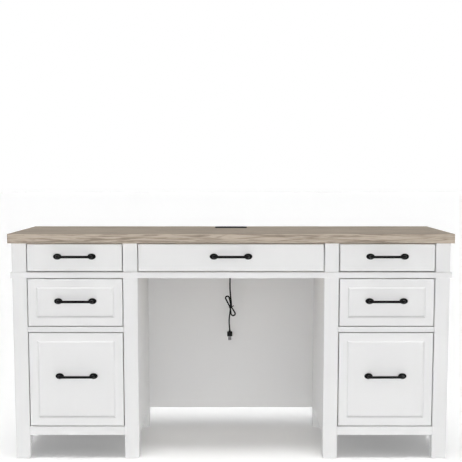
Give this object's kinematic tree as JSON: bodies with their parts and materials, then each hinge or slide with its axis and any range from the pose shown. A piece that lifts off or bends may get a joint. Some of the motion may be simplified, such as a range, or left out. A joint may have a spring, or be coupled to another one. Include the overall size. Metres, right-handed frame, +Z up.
{
  "type": "double pedestal desk",
  "caption": "Double-pedestal desk with inset drawers, bar pulls, an open kneehole with a modesty panel, and a connection hub in the top with a short hanging lead.",
  "frame": {"origin": "bottom centre of the desk with its pulls, on the floor", "axes": "+X to the right of someone facing the drawers, -Y out of the drawer fronts, +Z up"},
  "size_m": [1.524, 0.6305, 0.786],
  "materials": {
    "white_paint": "satin white paint over hardwood and board",
    "grey_oak": "greyed oak grain, matt lacquer",
    "bare_wood": "clear-lacquered birch",
    "grey_board": "dark grey primed board",
    "black_metal": "satin black coating",
    "zinc_steel": "zinc plated",
    "nylon": "moulded nylon",
    "black_plastic": "fine moulded texture",
    "lead_sheath": "soft black sheath",
    "connector_steel": "nickel plated shell"
  },
  "bodies": {
    "carcase": {"worktop": "grey_oak", "left_outer_front_leg": "white_paint", "left_outer_rear_leg": "white_paint", "left_inner_front_leg": "white_paint", "left_inner_rear_leg": "white_paint", "right_inner_front_leg": "white_paint", "right_inner_rear_leg": "white_paint", "right_outer_front_leg": "white_paint", "right_outer_rear_leg": "white_paint", "leg_glides": "nylon", "left_outer_side_panel": "white_paint", "left_kneehole_panel": "white_paint", "right_outer_side_panel": "white_paint", "right_kneehole_panel": "white_paint", "back_panels": "white_paint", "pedestal_floors": "grey_board", "modesty_panel": "white_paint", "front_rails": "white_paint", "waist_band": "white_paint", "slide_packers": "bare_wood", "slide_outer_members": "zinc_steel", "hub_body": "black_plastic", "hub_port_plate": "black_plastic", "hub_strain_relief": "black_plastic", "lead_upper": "lead_sheath", "lead_hank": "lead_sheath", "lead_lower": "lead_sheath", "lead_tie": "lead_sheath", "connector_body": "black_plastic", "connector_shell": "connector_steel"},
    "centre_drawer": {"centre_drawer_front": "white_paint", "centre_drawer_box": "bare_wood", "centre_drawer_pull": "black_metal", "centre_drawer_runners": "zinc_steel"},
    "left_file_drawer": {"left_file_drawer_front": "white_paint", "left_file_drawer_box": "bare_wood", "left_file_drawer_pull": "black_metal", "left_file_drawer_runners": "zinc_steel"},
    "left_file_slide_middle": {"left_file_slide_middle_members": "zinc_steel"},
    "left_middle_drawer": {"left_middle_drawer_front": "white_paint", "left_middle_drawer_box": "bare_wood", "left_middle_drawer_pull": "black_metal", "left_middle_drawer_runners": "zinc_steel"},
    "left_top_drawer": {"left_top_drawer_front": "white_paint", "left_top_drawer_box": "bare_wood", "left_top_drawer_pull": "black_metal", "left_top_drawer_runners": "zinc_steel"},
    "right_file_drawer": {"right_file_drawer_front": "white_paint", "right_file_drawer_box": "bare_wood", "right_file_drawer_pull": "black_metal", "right_file_drawer_runners": "zinc_steel"},
    "right_file_slide_middle": {"right_file_slide_middle_members": "zinc_steel"},
    "right_middle_drawer": {"right_middle_drawer_front": "white_paint", "right_middle_drawer_box": "bare_wood", "right_middle_drawer_pull": "black_metal", "right_middle_drawer_runners": "zinc_steel"},
    "right_top_drawer": {"right_top_drawer_front": "white_paint", "right_top_drawer_box": "bare_wood", "right_top_drawer_pull": "black_metal", "right_top_drawer_runners": "zinc_steel"}
  },
  "joints": [
    {"name": "centre_drawer_slide", "type": "slide", "parent": "carcase", "child": "centre_drawer", "axis": [0, -1, 0], "range_m": [0, 0.279]},
    {"name": "left_file_drawer_slide", "type": "slide", "parent": "carcase", "child": "left_file_drawer", "axis": [0, -1, 0], "range_m": [0, 0.48]},
    {"name": "left_file_middle_slide", "type": "slide", "parent": "carcase", "child": "left_file_slide_middle", "axis": [0, -1, 0], "range_m": [0, 0.24]},
    {"name": "left_middle_drawer_slide", "type": "slide", "parent": "carcase", "child": "left_middle_drawer", "axis": [0, -1, 0], "range_m": [0, 0.35]},
    {"name": "left_top_drawer_slide", "type": "slide", "parent": "carcase", "child": "left_top_drawer", "axis": [0, -1, 0], "range_m": [0, 0.35]},
    {"name": "right_file_drawer_slide", "type": "slide", "parent": "carcase", "child": "right_file_drawer", "axis": [0, -1, 0], "range_m": [0, 0.48]},
    {"name": "right_file_middle_slide", "type": "slide", "parent": "carcase", "child": "right_file_slide_middle", "axis": [0, -1, 0], "range_m": [0, 0.24]},
    {"name": "right_middle_drawer_slide", "type": "slide", "parent": "carcase", "child": "right_middle_drawer", "axis": [0, -1, 0], "range_m": [0, 0.35]},
    {"name": "right_top_drawer_slide", "type": "slide", "parent": "carcase", "child": "right_top_drawer", "axis": [0, -1, 0], "range_m": [0, 0.35]}
  ],
  "couplings": [
    {"joint": "left_file_middle_slide", "follows": "left_file_drawer_slide", "ratio": 0.5},
    {"joint": "right_file_middle_slide", "follows": "right_file_drawer_slide", "ratio": 0.5}
  ]
}
